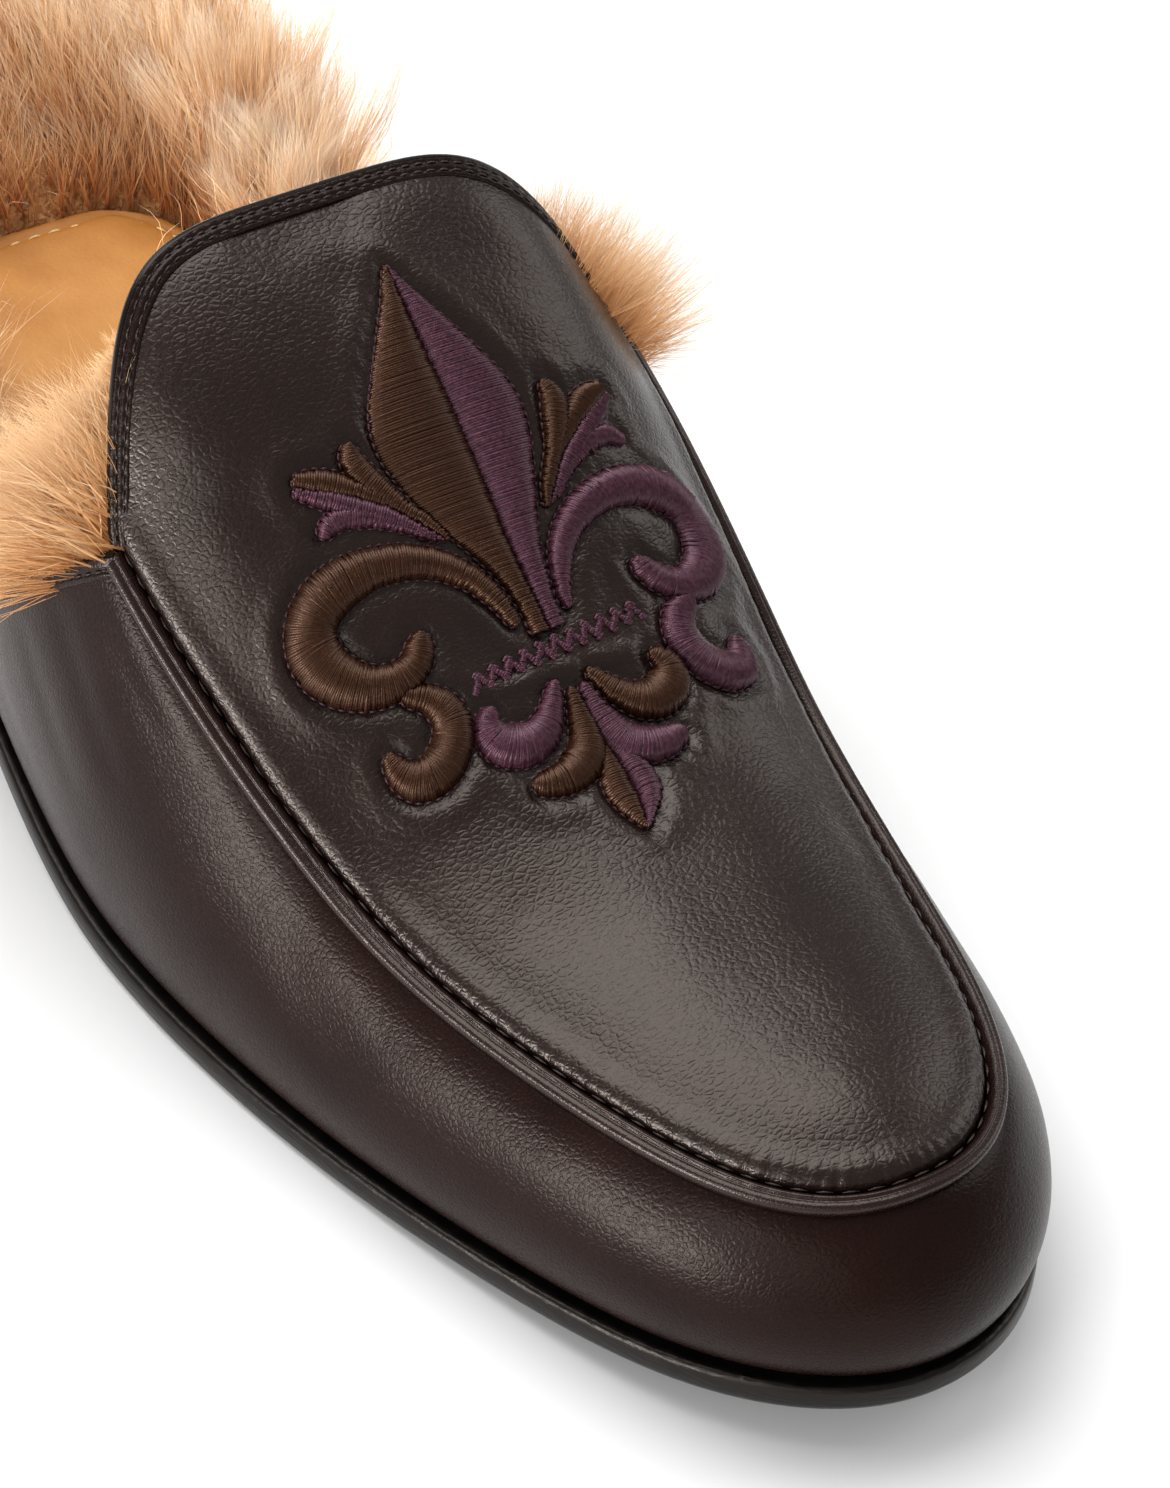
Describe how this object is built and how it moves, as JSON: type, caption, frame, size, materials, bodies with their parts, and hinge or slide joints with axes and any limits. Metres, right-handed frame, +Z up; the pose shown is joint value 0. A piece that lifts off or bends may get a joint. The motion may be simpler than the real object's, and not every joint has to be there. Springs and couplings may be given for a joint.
{
  "type": "loafer",
  "caption": "Backless slip-on loafer for the right foot: leather vamp with raised apron, fur lining spilling behind it, leather footbed pad, thin sole and low heel.",
  "frame": {"origin": "centre of the bounding box, on the floor plane", "axes": "+Y towards the heel, -Y towards the toe, +Z up, +X towards the big-toe (inner) side"},
  "size_m": [0.0925, 0.2842, 0.0892],
  "materials": {
    "upper_leather": "dark brown smooth calf, soft sheen",
    "piping_leather": "dark brown rolled leather",
    "lining_fur": "golden tan fur pile",
    "trim_fur": "golden tan fur pile",
    "sock_leather": "natural tan leather",
    "insole_board": "plain board",
    "outsole_leather": "black dressed edge",
    "heel_leather": "black dressed stack"
  },
  "bodies": {
    "root": {"upper": "upper_leather", "apron_piping": "piping_leather", "fur_lining": "lining_fur", "fur_trim": "trim_fur", "sock_pad": "sock_leather", "insole": "insole_board", "outsole": "outsole_leather", "heel": "heel_leather"}
  },
  "joints": []
}
